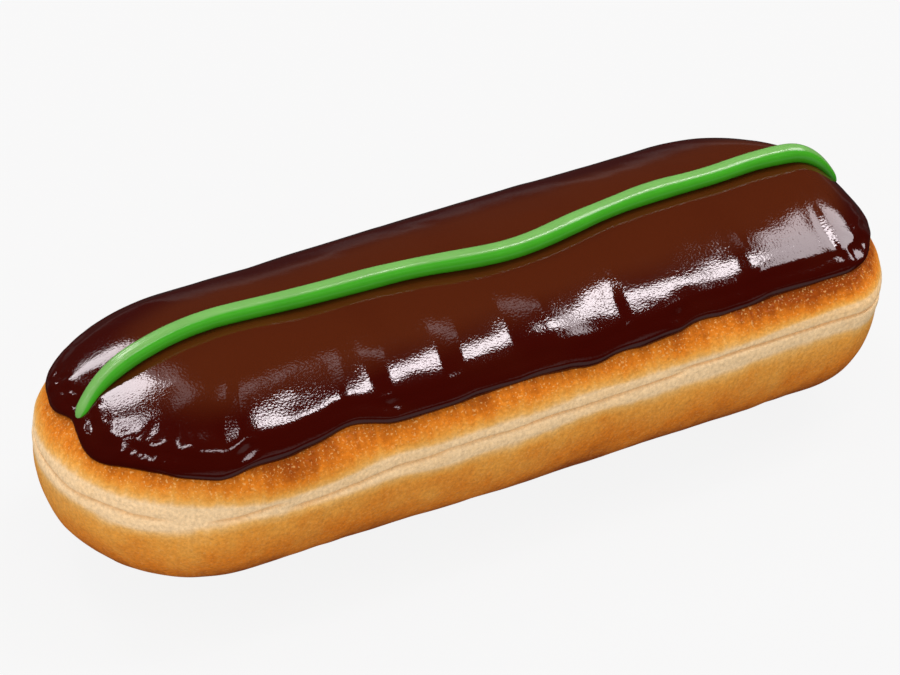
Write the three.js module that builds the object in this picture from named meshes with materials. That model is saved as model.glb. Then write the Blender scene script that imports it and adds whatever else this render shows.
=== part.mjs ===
import * as THREE from "three";

// A filled bar of raised, fried dough, iced with chocolate over its top half and finished with one piped green line.
// Millimetres. The bar lies along X on the plane z = 0, its front is towards -Y and its crown towards +Z.

// The loaf: the outer form of dough and icing together, round in plan at both ends.
const LENGTH = 146.6; // without the puff at the right end
const WIDTH = 54.6; // across the middle
const BARREL = 0.018; // share of its width that the loaf loses from the middle to the tips
const WAIST_HEIGHT = 21.2; // the pale line round the middle, above the table
const CROWN_RISE = 14.6; // from the waist to the top
const CROWN_ROUNDING = 1.88; // 2 is a plain ellipse, more is squarer
const BELLY_DROP = 21.7; // a little deeper than the waist is high, so that the loaf rests on a flat
const BELLY_ROUNDING = 2.43;
const HUMP = { at: 25, share: 0.03, reach: 32 }; // the upper half is a little higher right of its middle
const PUFF = { rise: 1.2, height: 2, spread: 4, reach: 14 }; // the right end swells out just over the waist

// How far each rounded end runs in from its tip, along the front and the back, and how much of the straight part
// the crown and the belly lose (or gain, below zero) towards that end.
const LEFT_END = { sign: -1, front: 27.3, back: 31.5, rounding: 1.98, crownLoss: 0.1, bellyLoss: -0.11 };
const RIGHT_END = { sign: 1, front: 14, back: 26.8, rounding: 2.08, crownLoss: -0.2, bellyLoss: 0.18 };
const FRONT = -1;
const BACK = 1;

// Places along the loaf, as stations: 0 is the left tip, 1 to 2 the straight part, 3 the right tip.
const END_STEPS = 11;
const MIDDLE_STEPS = 26;

// Places up the loaf, as levels: -1 is under it, 0 the waist, 1 the crown.
const BELLY_LEVELS = [-0.93, -0.84, -0.7, -0.57, -0.45, -0.34, -0.23, -0.13];
const CREASE_LEVELS = [-0.055, -0.02, 0, 0.02, 0.055];
const SHOULDER_LEVELS = [0.1, 0.16, 0.22, 0.29];
const SEAT_LEVELS = [0.37, 0.42, 0.48, 0.55, 0.64, 0.74, 0.85, 0.965];
const CREASE_DEPTH = 0.45;
const CREASE_HALF_WIDTH = 0.7;

// The dough under the icing lies lower than the loaf's outer form, from the first seat level on.
const SEAT_DEPTH = 1.9;
const SEAT_RUN = 3.5; // the height over which it comes to full depth

// The icing: its rounded lower edge, height above the waist, and the drips and bays in that edge.
const GAP = 0.3;
const EDGE_HEIGHT = 6.2;
const EDGE_RADIUS = 1.1;
const EDGE_PROUD = 0.85;
const EDGE_FADE = 5;
const COAT_PROUD = 0.05;
const ICING_STEPS = [0, 0.12, 0.4, 0.8, 1.3, 2.1, 3.4, 5.2];
const ICING_LEVELS = 8;

// Each wave of the edge: how far round the waist from the left tip it sits (front positive, back negative), how
// far it lifts the edge, or lowers it below zero, and its half width.
const EDGE_WAVES = [
  { at: 2, lift: 0.9, reach: 5 },
  { at: 11, lift: -0.8, reach: 5 },
  { at: 31, lift: -0.9, reach: 6 },
  { at: 57, lift: 1.0, reach: 5 },
  { at: 100, lift: -0.4, reach: 9 },
  { at: 135, lift: 0.6, reach: 18 },
  { at: 158, lift: 0.7, reach: 8 },
  { at: -16, lift: -1.0, reach: 7 },
  { at: -40, lift: 0.7, reach: 8 },
  { at: -66, lift: -0.8, reach: 8 },
  { at: -92, lift: 0.5, reach: 10 },
  { at: -118, lift: -0.7, reach: 7 },
  { at: -146, lift: 0.8, reach: 9 },
];

// The piped line: a bead that runs along the crown and down over both ends.
const LINE_WIDTH = 3.6;
const LINE_HEIGHT = 2.8;
const LINE_LOW = 7.8; // height of both tips above the waist
const LINE_STEPS = 72;
const RIDGE_STEPS = 40;
const CROWN_STEPS = 24;
const LINE_SIDES = 12;
const LINE_TIP = 2.6; // length over which each end rounds off
const LINE_TAPER = { run: 13, share: 0.4 }; // over this run from its tip each end is thinner, by up to this share
const CROWN_CURVE = 70; // twice the loaf's radius across its crown

// Sideways waves of the line: place along the loaf, shift towards the back (towards the front below zero), half width.
const LINE_WAVES = [
  { at: -72, shift: -5, reach: 6.5 },
  { at: -47, shift: 2.8, reach: 18 },
  { at: -18, shift: 0.6, reach: 24 },
  { at: 9, shift: -3.1, reach: 14 },
  { at: 38, shift: 0.6, reach: 9 },
  { at: 57, shift: 0.9, reach: 8 },
  { at: 75, shift: -1.2, reach: 8 },
];

const HALF_LENGTH = LENGTH / 2;
const HALF_WIDTH = WIDTH / 2;
const LEVEL_ANGLE = Math.PI / 2;
const LAST_STATION = 3;
const TOP_LEVEL = SEAT_LEVELS[SEAT_LEVELS.length - 1];

const smoothStep = (t) => THREE.MathUtils.smoothstep(t, 0, 1);
const bump = (distance, reach) => Math.exp(-((distance / reach) ** 2));
const superPower = (value, rounding) => Math.max(value, 0) ** (2 / rounding);

const humpAt = (x) => 1 + HUMP.share * bump(x - HUMP.at, HUMP.reach);

// How far the loaf reaches outwards and rises at a level, and the slope of its side there.
function profile(level) {
  const upper = level >= 0;
  const rounding = upper ? CROWN_ROUNDING : BELLY_ROUNDING;
  const height = upper ? CROWN_RISE : BELLY_DROP;
  const angle = Math.abs(level) * LEVEL_ANGLE;
  const reach = superPower(Math.cos(angle), rounding);
  const rise = superPower(Math.sin(angle), rounding);
  const slope = new THREE.Vector2(reach ** (rounding - 1) / HALF_WIDTH, rise ** (rounding - 1) / height).normalize();
  const sign = upper ? 1 : -1;
  return { upper, reach, z: sign * rise * height, out: slope.x, up: sign * slope.y };
}

// Where an end's tip is at a level, and where its rounded part meets the straight one.
function endAt(end, side, shape) {
  const middleNose = (end.front + end.back) / 2;
  const loss = shape.upper ? end.crownLoss : end.bellyLoss;
  const straight = (HALF_LENGTH - middleNose) * (1 - loss * (1 - shape.reach));
  const nose = (side === FRONT ? end.front : end.back) * shape.reach;
  const tip = straight + middleNose * shape.reach;
  return { tip, nose, shoulder: tip - nose };
}

// One point of the loaf's outer form and the direction that faces out there.
function loafPoint(station, side, level) {
  const shape = profile(level);
  const left = endAt(LEFT_END, side, shape);
  const right = endAt(RIGHT_END, side, shape);
  let x = THREE.MathUtils.lerp(-left.shoulder, right.shoulder, THREE.MathUtils.clamp(station - 1, 0, 1));
  let across = 1;
  const facing = new THREE.Vector2(0, side);
  const rounded = station < 1 ? LEFT_END : station > 2 ? RIGHT_END : null;
  if (rounded) {
    const turn = (rounded === LEFT_END ? station : LAST_STATION - station) * LEVEL_ANGLE;
    const along = superPower(Math.cos(turn), rounded.rounding);
    across = superPower(Math.sin(turn), rounded.rounding);
    const here = rounded === LEFT_END ? left : right;
    x = rounded.sign * (here.shoulder + here.nose * along);
    const nose = side === FRONT ? rounded.front : rounded.back;
    const slope = rounded.rounding - 1;
    facing.set((rounded.sign * along ** slope) / nose, (side * across ** slope) / HALF_WIDTH).normalize();
  }
  const barrel = 1 - BARREL * (x / HALF_LENGTH) ** 2;
  const y = side * HALF_WIDTH * shape.reach * across * barrel;
  const z = shape.z * (shape.upper ? humpAt(x) : 1);
  const puff = PUFF.rise * bump(x - HALF_LENGTH, PUFF.reach) * bump(z - PUFF.height, PUFF.spread);
  return {
    point: new THREE.Vector3(x + facing.x * puff, y + facing.y * puff, z),
    normal: new THREE.Vector3(facing.x * shape.out, facing.y * shape.out, shape.up),
  };
}

// The stations of a full turn round the loaf: from the left tip along the front to the right tip and back.
function stationList() {
  const stations = [];
  for (let i = 0; i < END_STEPS; i += 1) stations.push(i / END_STEPS);
  for (let i = 0; i <= MIDDLE_STEPS; i += 1) stations.push(1 + i / MIDDLE_STEPS);
  for (let i = END_STEPS - 1; i >= 0; i -= 1) stations.push(LAST_STATION - i / END_STEPS);
  return stations;
}

const STATIONS = stationList();
const AROUND = [
  ...STATIONS.map((station) => ({ station, side: FRONT })),
  ...STATIONS.slice(1, -1).reverse().map((station) => ({ station, side: BACK })),
];

// Distance round the waist from the left tip, positive along the front and negative along the back.
function waistDistances() {
  const distances = new Map();
  for (const side of [FRONT, BACK]) {
    let travelled = 0;
    let last = null;
    for (const station of STATIONS) {
      const { point } = loafPoint(station, side, 0);
      if (last) travelled += point.distanceTo(last);
      last = point;
      distances.set(`${station} ${side}`, -side * travelled);
    }
  }
  return distances;
}

const WAIST_DISTANCES = waistDistances();

// Closed solid from rings that each run once round the loaf. The first and last ring are closed by strips that
// join their front to their back.
function ringSolid(rings) {
  const count = rings[0].length;
  const triangles = [];
  const quad = (a, b, c, d) => triangles.push(a, b, c, a, c, d);
  for (let r = 0; r + 1 < rings.length; r += 1) {
    for (let i = 0; i < count; i += 1) {
      const next = (i + 1) % count;
      quad(r * count + i, r * count + next, (r + 1) * count + next, (r + 1) * count + i);
    }
  }
  const half = count / 2;
  for (const [ring, flip] of [[0, true], [rings.length - 1, false]]) {
    const base = ring * count;
    const strip = (a, b, c) => triangles.push(a, flip ? c : b, flip ? b : c);
    strip(base, base + 1, base + count - 1);
    for (let i = 1; i < half - 1; i += 1) {
      strip(base + i, base + i + 1, base + count - i);
      strip(base + i + 1, base + count - i - 1, base + count - i);
    }
    strip(base + half - 1, base + half, base + half + 1);
  }
  const geometry = new THREE.BufferGeometry().setFromPoints(rings.flat());
  geometry.setIndex(triangles);
  geometry.computeVertexNormals();
  return geometry;
}

// The table is z = 0, so the waist is lifted and the belly is cut flat where it rests. The puff makes the right end
// longer, so everything moves left by half of that and stays centred.
function onTable(point) {
  return new THREE.Vector3(point.x - PUFF.rise / 2, point.y, Math.max(point.z + WAIST_HEIGHT, 0));
}

function doughPoint(station, side, level) {
  const { point, normal } = loafPoint(station, side, level);
  const crease = CREASE_DEPTH * bump(point.z, CREASE_HALF_WIDTH);
  return onTable(point.addScaledVector(normal, -seatDepth(point.z) - crease));
}

function doughBun() {
  const levels = [...BELLY_LEVELS, ...CREASE_LEVELS, ...SHOULDER_LEVELS, ...SEAT_LEVELS];
  return ringSolid(levels.map((level) => AROUND.map(({ station, side }) => doughPoint(station, side, level))));
}

// Level at which the loaf is a given height above its waist.
function levelAt(height) {
  const rise = THREE.MathUtils.clamp(height / CROWN_RISE, 0, 1);
  return Math.asin(rise ** (CROWN_ROUNDING / 2)) / LEVEL_ANGLE;
}

function edgeHeight(station, side) {
  const place = WAIST_DISTANCES.get(`${station} ${side}`);
  return EDGE_WAVES.reduce((height, wave) => height + wave.lift * bump(place - wave.at, wave.reach), EDGE_HEIGHT);
}

// How far the icing's outside stands out from the loaf's form, a given height above its own edge. It starts just
// clear of the dough, turns out round its edge and then thins towards the crown.
function icingProud(above) {
  const round = Math.sqrt(1 - (1 - THREE.MathUtils.clamp(above / EDGE_RADIUS, 0, 1)) ** 2);
  const swell = EDGE_PROUD * bump(Math.max(above - EDGE_RADIUS, 0), EDGE_FADE);
  return GAP * (1 - round) + round * (COAT_PROUD + swell);
}

function seatDepth(height) {
  return SEAT_DEPTH * smoothStep((height - profile(SEAT_LEVELS[0]).z) / SEAT_RUN);
}

// One point of the icing's outside: first at the named heights above its edge, then in even steps to the crown.
function icingOutside(station, side, step) {
  const edge = edgeHeight(station, side);
  const lastStep = ICING_STEPS.length - 1;
  const low = levelAt(edge + ICING_STEPS[Math.min(step, lastStep)]);
  const climb = Math.max(step - lastStep, 0) / ICING_LEVELS;
  const { point, normal } = loafPoint(station, side, THREE.MathUtils.lerp(low, TOP_LEVEL, climb));
  return onTable(point.addScaledVector(normal, icingProud(point.z - edge)));
}

// One point of its inside, which follows the dough.
function icingInside(station, side, level) {
  const { point, normal } = loafPoint(station, side, level);
  return onTable(point.addScaledVector(normal, GAP - seatDepth(point.z)));
}

function chocolateIcing() {
  const inside = [...SEAT_LEVELS]
    .reverse()
    .map((level) => AROUND.map(({ station, side }) => icingInside(station, side, level)));
  const outside = Array.from({ length: ICING_STEPS.length + ICING_LEVELS }, (_, step) =>
    AROUND.map(({ station, side }) => icingOutside(station, side, step)),
  );
  return ringSolid([...inside, ...outside]);
}

// The icing's middle line, from near its edge at the left tip over the crown to the right tip, as points on its
// outside with the directions that face out there.
function icingRidge() {
  const up = [];
  const down = [];
  for (let i = 0; i <= RIDGE_STEPS; i += 1) {
    for (const [station, list] of [[0, up], [LAST_STATION, down]]) {
      const { point, normal } = loafPoint(station, FRONT, i / RIDGE_STEPS);
      if (point.z < LINE_LOW) continue;
      point.addScaledVector(normal, icingProud(point.z - edgeHeight(station, FRONT)));
      list.push({ point, normal });
    }
  }
  const [from, to] = [up[up.length - 1], down[down.length - 1]];
  const crown = Array.from({ length: CROWN_STEPS }, (_, i) => {
    const point = from.point.clone().lerp(to.point, (i + 1) / (CROWN_STEPS + 1));
    point.z = CROWN_RISE * humpAt(point.x) + COAT_PROUD;
    return { point, normal: from.normal.clone() };
  });
  return [...up, ...crown, ...down.reverse()];
}

// The bead's size at a distance from its nearer tip, as a share of its full size.
function lineSize(fromTip) {
  return 1 - LINE_TAPER.share * (1 - smoothStep(fromTip / LINE_TAPER.run));
}

function lineRoute() {
  const ridge = icingRidge();
  const travelled = [0];
  for (let i = 1; i < ridge.length; i += 1) {
    travelled.push(travelled[i - 1] + ridge[i].point.distanceTo(ridge[i - 1].point));
  }
  const length = travelled[ridge.length - 1];
  return new THREE.CatmullRomCurve3(
    ridge.map(({ point, normal }, i) => {
      const shift = LINE_WAVES.reduce((sum, wave) => sum + wave.shift * bump(point.x - wave.at, wave.reach), 0);
      const size = lineSize(Math.min(travelled[i], length - travelled[i]));
      const lift = GAP + (LINE_HEIGHT / 2) * size - shift ** 2 / CROWN_CURVE;
      return onTable(point.addScaledVector(normal, lift).add(new THREE.Vector3(0, shift, 0)));
    }),
  );
}

function greenLine() {
  const route = lineRoute();
  const length = route.getLength();
  const rings = [];
  for (let i = 0; i <= LINE_STEPS; i += 1) {
    const along = i / LINE_STEPS;
    const centre = route.getPointAt(along);
    const ahead = route.getTangentAt(along);
    const across = new THREE.Vector3(-ahead.y, ahead.x, 0).normalize();
    const up = new THREE.Vector3().crossVectors(ahead, across);
    const fromTip = Math.min(along, 1 - along) * length;
    const round = lineSize(fromTip) * Math.sqrt(1 - (1 - Math.min((fromTip + GAP) / LINE_TIP, 1)) ** 2);
    rings.push(
      Array.from({ length: LINE_SIDES }, (_, side) => {
        const turn = (side / LINE_SIDES) * 2 * Math.PI;
        return centre
          .clone()
          .addScaledVector(across, (LINE_WIDTH / 2) * round * Math.cos(turn))
          .addScaledVector(up, (LINE_HEIGHT / 2) * round * Math.sin(turn));
      }),
    );
  }
  return ringSolid(rings);
}

function piece(name, geometry, color, roughness) {
  const mesh = new THREE.Mesh(geometry, new THREE.MeshStandardMaterial({ color, roughness, metalness: 0 }));
  mesh.name = name;
  return mesh;
}

const bar = new THREE.Group();
bar.add(piece("dough_bun", doughBun(), 0xc98a3c, 0.7));
bar.add(piece("chocolate_icing", chocolateIcing(), 0x3a1409, 0.12));
bar.add(piece("green_icing_line", greenLine(), 0x4aa52a, 0.25));

export default bar;
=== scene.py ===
"""Looks of a chocolate-iced bar of fried dough with one green piped line, laid out as a Blender add-on."""

import bpy
import numpy as np
from bpy.props import FloatProperty, FloatVectorProperty, PointerProperty
from mathutils import Matrix, Vector


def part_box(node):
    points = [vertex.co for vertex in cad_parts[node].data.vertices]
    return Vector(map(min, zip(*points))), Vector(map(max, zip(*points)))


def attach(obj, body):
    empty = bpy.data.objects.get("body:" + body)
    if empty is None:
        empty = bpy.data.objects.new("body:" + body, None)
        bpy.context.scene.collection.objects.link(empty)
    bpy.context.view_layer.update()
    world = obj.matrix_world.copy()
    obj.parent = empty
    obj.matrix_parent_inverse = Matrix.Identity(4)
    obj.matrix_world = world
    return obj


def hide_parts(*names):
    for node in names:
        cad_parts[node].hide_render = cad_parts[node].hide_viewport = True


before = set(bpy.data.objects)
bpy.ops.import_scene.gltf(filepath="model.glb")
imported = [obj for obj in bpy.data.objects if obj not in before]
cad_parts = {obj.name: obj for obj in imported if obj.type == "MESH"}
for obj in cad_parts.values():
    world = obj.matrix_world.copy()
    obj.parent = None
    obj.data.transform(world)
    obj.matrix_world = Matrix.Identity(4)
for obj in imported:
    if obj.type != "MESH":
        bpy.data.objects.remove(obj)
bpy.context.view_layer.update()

bl_info = {
    "name": "Iced dough bar",
    "version": (1, 0, 0),
    "blender": (4, 5, 0),
    "location": "3D View > Sidebar > Iced bar",
    "description": "Makes a fried dough bar, its chocolate coat, its piped line and a pale studio",
    "category": "Add Mesh",
}

MM = 0.001


def box_mm(node):
    """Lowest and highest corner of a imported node, in millimetres."""
    low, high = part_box(node)
    return np.array(low) / MM, np.array(high) / MM


# The loaf: the outer form of dough and coat together, in millimetres, with heights counted from its
# waist. Its crown is a little higher over the hump, its right end puffs out over the waist, its sides
# draw in by the barrel share towards both ends, and its belly is cut off where it would lie under the
# table.
dough_low, dough_high = box_mm("dough_bun")
coat_top = box_mm("chocolate_icing")[1][2]
COAT_PROUD = 0.05
WAIST_HEIGHT = 21.2
HUMP = dict(at=25, share=0.03, reach=32)
PUFF = dict(rise=1.2, height=2, spread=4, reach=14)
HALF_LENGTH = -dough_low[0] - PUFF["rise"] / 2
HALF_WIDTH = (dough_high[1] - dough_low[1]) / 2
BARREL = 0.018
CROWN_RISE = (coat_top - WAIST_HEIGHT - COAT_PROUD) / (1 + HUMP["share"])
CROWN_ROUNDING = 1.88
CUT_OFF = 0.5
BELLY_DROP = WAIST_HEIGHT + CUT_OFF
BELLY_ROUNDING = 2.43
LEFT_END = dict(sign=-1, front=27.3, back=31.5, rounding=1.98, crown_loss=0.1, belly_loss=-0.11)
RIGHT_END = dict(sign=1, front=14.0, back=26.8, rounding=2.08, crown_loss=-0.2, belly_loss=0.18)
QUARTER_TURN = np.pi / 2
LAST_STATION = 3

# Steps round the loaf: in each quarter of its rounded ends, and along its straight part.
END_STEPS = 90
MIDDLE_STEPS = 170

# Levels between which the rows of the dough lie, and how many rows each stretch has.
DOUGH_STRETCHES = ((-0.985, -0.056, 62), (-0.056, 0.122, 40), (0.122, 0.36, 30), (0.38, 0.985, 8))

# The seat of the coat: the level from which the dough draws in, how deep, and over which height.
SEAT_LEVEL = 0.37
SEAT_DEPTH = 1.9
SEAT_RUN = 3.5

# Unevenness of the dough: size of its lumps, their height, and the seed of their random draw, as in every
# table of lumps below. The waist draws in over a reach, and has fine pleats across it, whose places are
# stretched so that they come out narrow along the waist and long up the dough.
DOUGH_LUMPS = ((19.0, 0.34, 11), (7.0, 0.13, 12), (2.6, 0.045, 13))
WAIST_REACH = 2.6
PLEATS = ((3.0, 0.05, 22),)
PLEAT_STRETCH = (3.2, 0.7)
PLEAT_REACH = 3.5

# Creases round the waist: place round the waist where each starts and ends, and its heights there. Places
# run from the left tip, along the front above zero and along the back below zero.
CREASES = (
    dict(start=-34, end=27, rise=1.0, fall=-0.9),
    dict(start=30, end=47, rise=-1.4, fall=-0.5),
    dict(start=43, end=77, rise=-1.5, fall=0.2),
    dict(start=72, end=119, rise=-0.3, fall=0.4),
    dict(start=113, end=168, rise=1.0, fall=0.5),
    dict(start=-172, end=-122, rise=0.4, fall=-0.8),
    dict(start=-127, end=-84, rise=0.5, fall=-0.4),
    dict(start=-88, end=-31, rise=0.9, fall=-0.7),
)
CREASE_WIDTH = 0.3
CREASE_FADE = 5.0
CREASE_WOBBLE = ((7.0, 0.35, 21),)

# Soft lips of each crease: how far below its middle they lie, and their height as a share of its depth.
LIPS = (dict(below=1.3, rise=0.55), dict(below=-1.1, rise=0.25))
LIP_WIDTH = 1.1

# The crust's colours by height over the waist and depth under it: how many stops it has gone there on its
# way from cream over straw, gold and amber to brown. Soft drifts, upright fibres and a deeper fried patch
# move it on or back, with a smaller share of that on the pale waist. A crease's groove gets painted shade,
# which takes its share of the red, green and blue away.
CRUST_UP = dict(heights=(1.7, 2.5, 3.3, 4.8, 7.0), stops=(0, 1, 2, 3, 3.6))
CRUST_DOWN = dict(depths=(1.4, 2.4, 3.7, 10.5, 16.0), stops=(0, 1, 2, 3, 4))
CALM_SHARE = 0.25
DRIFT = ((4.5, 0.55, 23), (1.6, 0.35, 24), (15, 0.4, 25))
DRIFT_SHARE = 0.6
FIBRES = ((1.0, 1.0, 27),)
FIBRE_SIZE = (0.55, 3.0)
FIBRE_SHARE = 0.12
FIBRE_BAND = dict(height=3.5, share=0.22, reach=3.0)
DEEPER = dict(at=147, stops=1.2, reach=18, run=3)
GROOVE_SHADE = (0.14, 0.30, 0.48)

# The fried grain and its pale specks, which are painted glints, are strongest next to the coat and have
# their least share elsewhere.
GRAIN_AND_GLINT_REACH = 2.6
GRAIN_AND_GLINT_LEAST = 0.34
GLINT_COLOUR = (0.95, 0.60, 0.22, 1.0)

# The pale band's borders: lumps of both, and their waves as place round the waist, how far they dip, and
# half width.
BORDER_LUMPS = ((9.0, 0.35, 26),)
BAND_TOP_WAVES = (
    dict(at=8, drop=-0.5, reach=14),
    dict(at=44, drop=1.5, reach=13),
    dict(at=152, drop=-1.3, reach=16),
)
BAND_LOW_WAVES = (
    dict(at=22, drop=1.4, reach=9),
    dict(at=74, drop=0.8, reach=14),
    dict(at=112, drop=0.3, reach=12),
)

# The coat's lower edge: its height above the waist, its fine waves, and its drips and bays.
EDGE_HEIGHT = 6.2
EDGE_LUMPS = ((5.0, 0.25, 31),)
EDGE_WAVES = (
    dict(at=2, lift=0.9, reach=5),
    dict(at=11, lift=-0.8, reach=5),
    dict(at=31, lift=-0.9, reach=6),
    dict(at=57, lift=1.0, reach=5),
    dict(at=100, lift=-0.4, reach=9),
    dict(at=135, lift=0.6, reach=18),
    dict(at=158, lift=0.7, reach=8),
    dict(at=-16, lift=-1.0, reach=7),
    dict(at=-40, lift=0.7, reach=8),
    dict(at=-66, lift=-0.8, reach=8),
    dict(at=-92, lift=0.5, reach=10),
    dict(at=-118, lift=-0.7, reach=7),
    dict(at=-146, lift=0.8, reach=9),
)

# The coat's rolled bead: its radius, its lift off the loaf, the run over which the coat thins above it,
# and the turn under the edge at which its circle starts.
BEAD_RADIUS = 0.85
BEAD_LIFT = 0.1
BEAD_FADE = 6.0
BEAD_START = -0.6

# Rows of the coat: round its bead, up its shoulder, on over its crown, and back down its inside, which
# starts a little over the edge and lies a small gap over the dough.
BEAD_ROWS = 14
SHOULDER_RUN = 13.0
SHOULDER_ROWS = 62
CROWN_ROWS = 48
TOP_LEVEL = 0.988
INSIDE_ROWS = 8
INSIDE_LIFT = 0.5
INSIDE_GAP = 0.05

# Levels over which the coat's colour turns from its sides' to its crown's, a painted sheen that lightens
# the chocolate on top.
CROWN_SHEEN_FROM = 0.50
CROWN_SHEEN_RUN = 0.22

# Steps in the coat's shoulder, where it rises to the right over a short run and so breaks its shine:
# place round the waist where each starts and ends, and its rise. After each the coat falls back evenly up
# to the next. They are rounded off, and strongest at a height over the coat's edge.
STEPS = (
    dict(start=33.5, end=37.5, rise=0.42),
    dict(start=56.0, end=57.5, rise=0.16),
    dict(start=61.5, end=65.0, rise=0.42),
    dict(start=74.0, end=78.0, rise=0.52),
    dict(start=86.5, end=94.0, rise=0.88),
    dict(start=106.0, end=108.5, rise=0.36),
    dict(start=129.0, end=132.0, rise=0.55),
)
LAST_FALL = 12.0
STEP_GRID = 0.1
STEP_SOFTNESS = 0.7
STEP_ABOVE = 6.5
STEP_SPREAD = 8.0

# Unevenness of the coat all over, and of its rim at both ends.
COAT_LUMPS = ((9.0, 0.10, 41), (3.5, 0.03, 42))
RIM_LUMPS = ((1.7, 0.27, 43),)
END_RIMS = (
    dict(at=2, above=1.5, reach=18, spread=3.0),
    dict(at=160, above=2, reach=11, spread=4.0),
)

# The groove over the coat's bead, and the crease at its right end, whose lower part leans to the right.
GROOVE = dict(above=2.8, spread=1.1, depth=0.13)
END_CREASE = dict(at=146.8, lean=0.2, under=8, reach=0.42, above=7.5, spread=5.0, depth=0.15)

# Dents and swellings of the coat: place round the waist, height over its edge, half widths, and rise.
SWELLINGS = (
    dict(at=38, above=2.4, reach=1.8, spread=1.5, rise=-0.32),
    dict(at=64, above=2.4, reach=1.5, spread=1.2, rise=-0.3),
    dict(at=116, above=2.2, reach=1.4, spread=1.2, rise=-0.3),
    dict(at=30, above=4.0, reach=6.0, spread=2.6, rise=0.35),
    dict(at=47, above=2.6, reach=8.0, spread=3.2, rise=0.30),
    dict(at=110, above=2.6, reach=5.0, spread=3.0, rise=0.30),
    dict(at=18.0, above=4.0, reach=1.4, spread=3.0, rise=-0.10),
    dict(at=24.5, above=3.5, reach=1.8, spread=3.0, rise=-0.20),
)

# The piped line's sideways waves: place along the bar, shift towards the back, and half width.
LINE_WAVES = (
    dict(at=-72, shift=-5.0, reach=6.5),
    dict(at=-47, shift=2.8, reach=18),
    dict(at=-18, shift=0.6, reach=24),
    dict(at=9, shift=-3.1, reach=14),
    dict(at=38, shift=0.6, reach=9),
    dict(at=57, shift=0.9, reach=8),
    dict(at=75, shift=-1.2, reach=8),
)

# The line's route: points on each end's climb and over the crown, the crown's radius of curvature as a
# share of an ellipse's, how far the bead sinks in, and the run over which the route is smoothed.
CLIMB_POINTS = 160
CROWN_POINTS = 240
CROWN_CURVE = 0.8
LINE_SINK = 0.3
LINE_SMOOTHING = 2.0

# The bead: steps along it and round it, how it thins and closes towards its tips, its uneven thickness, and
# the arc round it that keeps its deep green, in degrees, as its start, run in, end and run out. The rest of
# the round is paled by a painted sheen on its top and back.
LINE_STEPS = 620
LINE_SIDES = 44
LINE_TAPER = 0.42
LINE_TAPER_RUN = 13.0
LINE_TIP = 2.4
LINE_TIP_BLUNT = 0.02
LINE_SWELL = ((9.0, 0.06, 51),)
SHADED_ARC = (118, 14, 330, 20)


def bump(distance, reach):
    """Bell: one at no distance, falling as e to the minus square of distance over reach."""
    return np.exp(-((distance / reach) ** 2))


def smooth(t):
    """Smooth step from zero to one: three t squared less two t cubed, with t held between them."""
    t = np.clip(t, 0, 1)
    return t * t * (3 - 2 * t)


def round_power(value, rounding):
    """A sine or cosine raised to two over the rounding, which squares an ellipse up."""
    return np.maximum(value, 0) ** (2 / rounding)


def waves(place, table, key):
    """Sum of bells along a way: what each wave has under the key, times a bell round its place."""
    return sum(wave[key] * bump(place - wave["at"], wave["reach"]) for wave in table)


def cell_noise(points, cell, seed):
    """Smooth noise between minus and plus one: random values on a cubic lattice, eased by a fifth power."""
    period = 32
    values = np.random.default_rng(seed).uniform(-1, 1, (period, period, period))
    place = points / cell
    low = np.floor(place).astype(int)
    part = place - low
    ease = part**3 * (part * (part * 6 - 15) + 10)
    total = 0
    for corner in np.ndindex(2, 2, 2):
        weight = np.prod(np.where(corner, ease, 1 - ease), axis=-1)
        x, y, z = np.moveaxis((low + corner) % period, -1, 0)
        total = total + weight * values[x, y, z]
    return total


def lumps(points, table):
    """Sum of smooth noises, each with the size of its cells, its height and the seed of its random draw."""
    return sum(rise * cell_noise(points, cell, seed) for cell, rise, seed in table)


def flat_points(along, up=0.0):
    """Points in a plane for noise on a surface: a distance along it, and one up it where that is given."""
    return np.stack([along, up + 0 * along, 0 * along], axis=-1)


def hump(x):
    """Factor by which the upper half is higher at a place along the loaf: one, and a bell."""
    return 1 + HUMP["share"] * bump(x - HUMP["at"], HUMP["reach"])


def profile(level):
    """Superellipse up the loaf: its reach and its rise are the cosine and the sine of a quarter turn
    times the level, each raised. Returns whether the level is in the upper half, reach, height and the
    outward direction."""
    upper = level >= 0
    rounding = np.where(upper, CROWN_ROUNDING, BELLY_ROUNDING)
    height = np.where(upper, CROWN_RISE, BELLY_DROP)
    angle = np.abs(level) * QUARTER_TURN
    reach = round_power(np.cos(angle), rounding)
    rise = round_power(np.sin(angle), rounding)
    out = reach ** (rounding - 1) / HALF_WIDTH
    up = rise ** (rounding - 1) / height
    length = np.hypot(out, up)
    sign = np.where(upper, 1, -1)
    return upper, reach, sign * rise * height, out / length, sign * up / length


def end_at(end, side, upper, reach):
    """Where an end's rounded part starts and how far it runs. Away from the waist the straight part gets
    shorter or longer by the end's loss."""
    middle = (end["front"] + end["back"]) / 2
    loss = np.where(upper, end["crown_loss"], end["belly_loss"])
    nose = np.where(side < 0, end["front"], end["back"]) * reach
    tip = (HALF_LENGTH - middle) * (1 - loss * (1 - reach)) + middle * reach
    return tip - nose, nose


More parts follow.
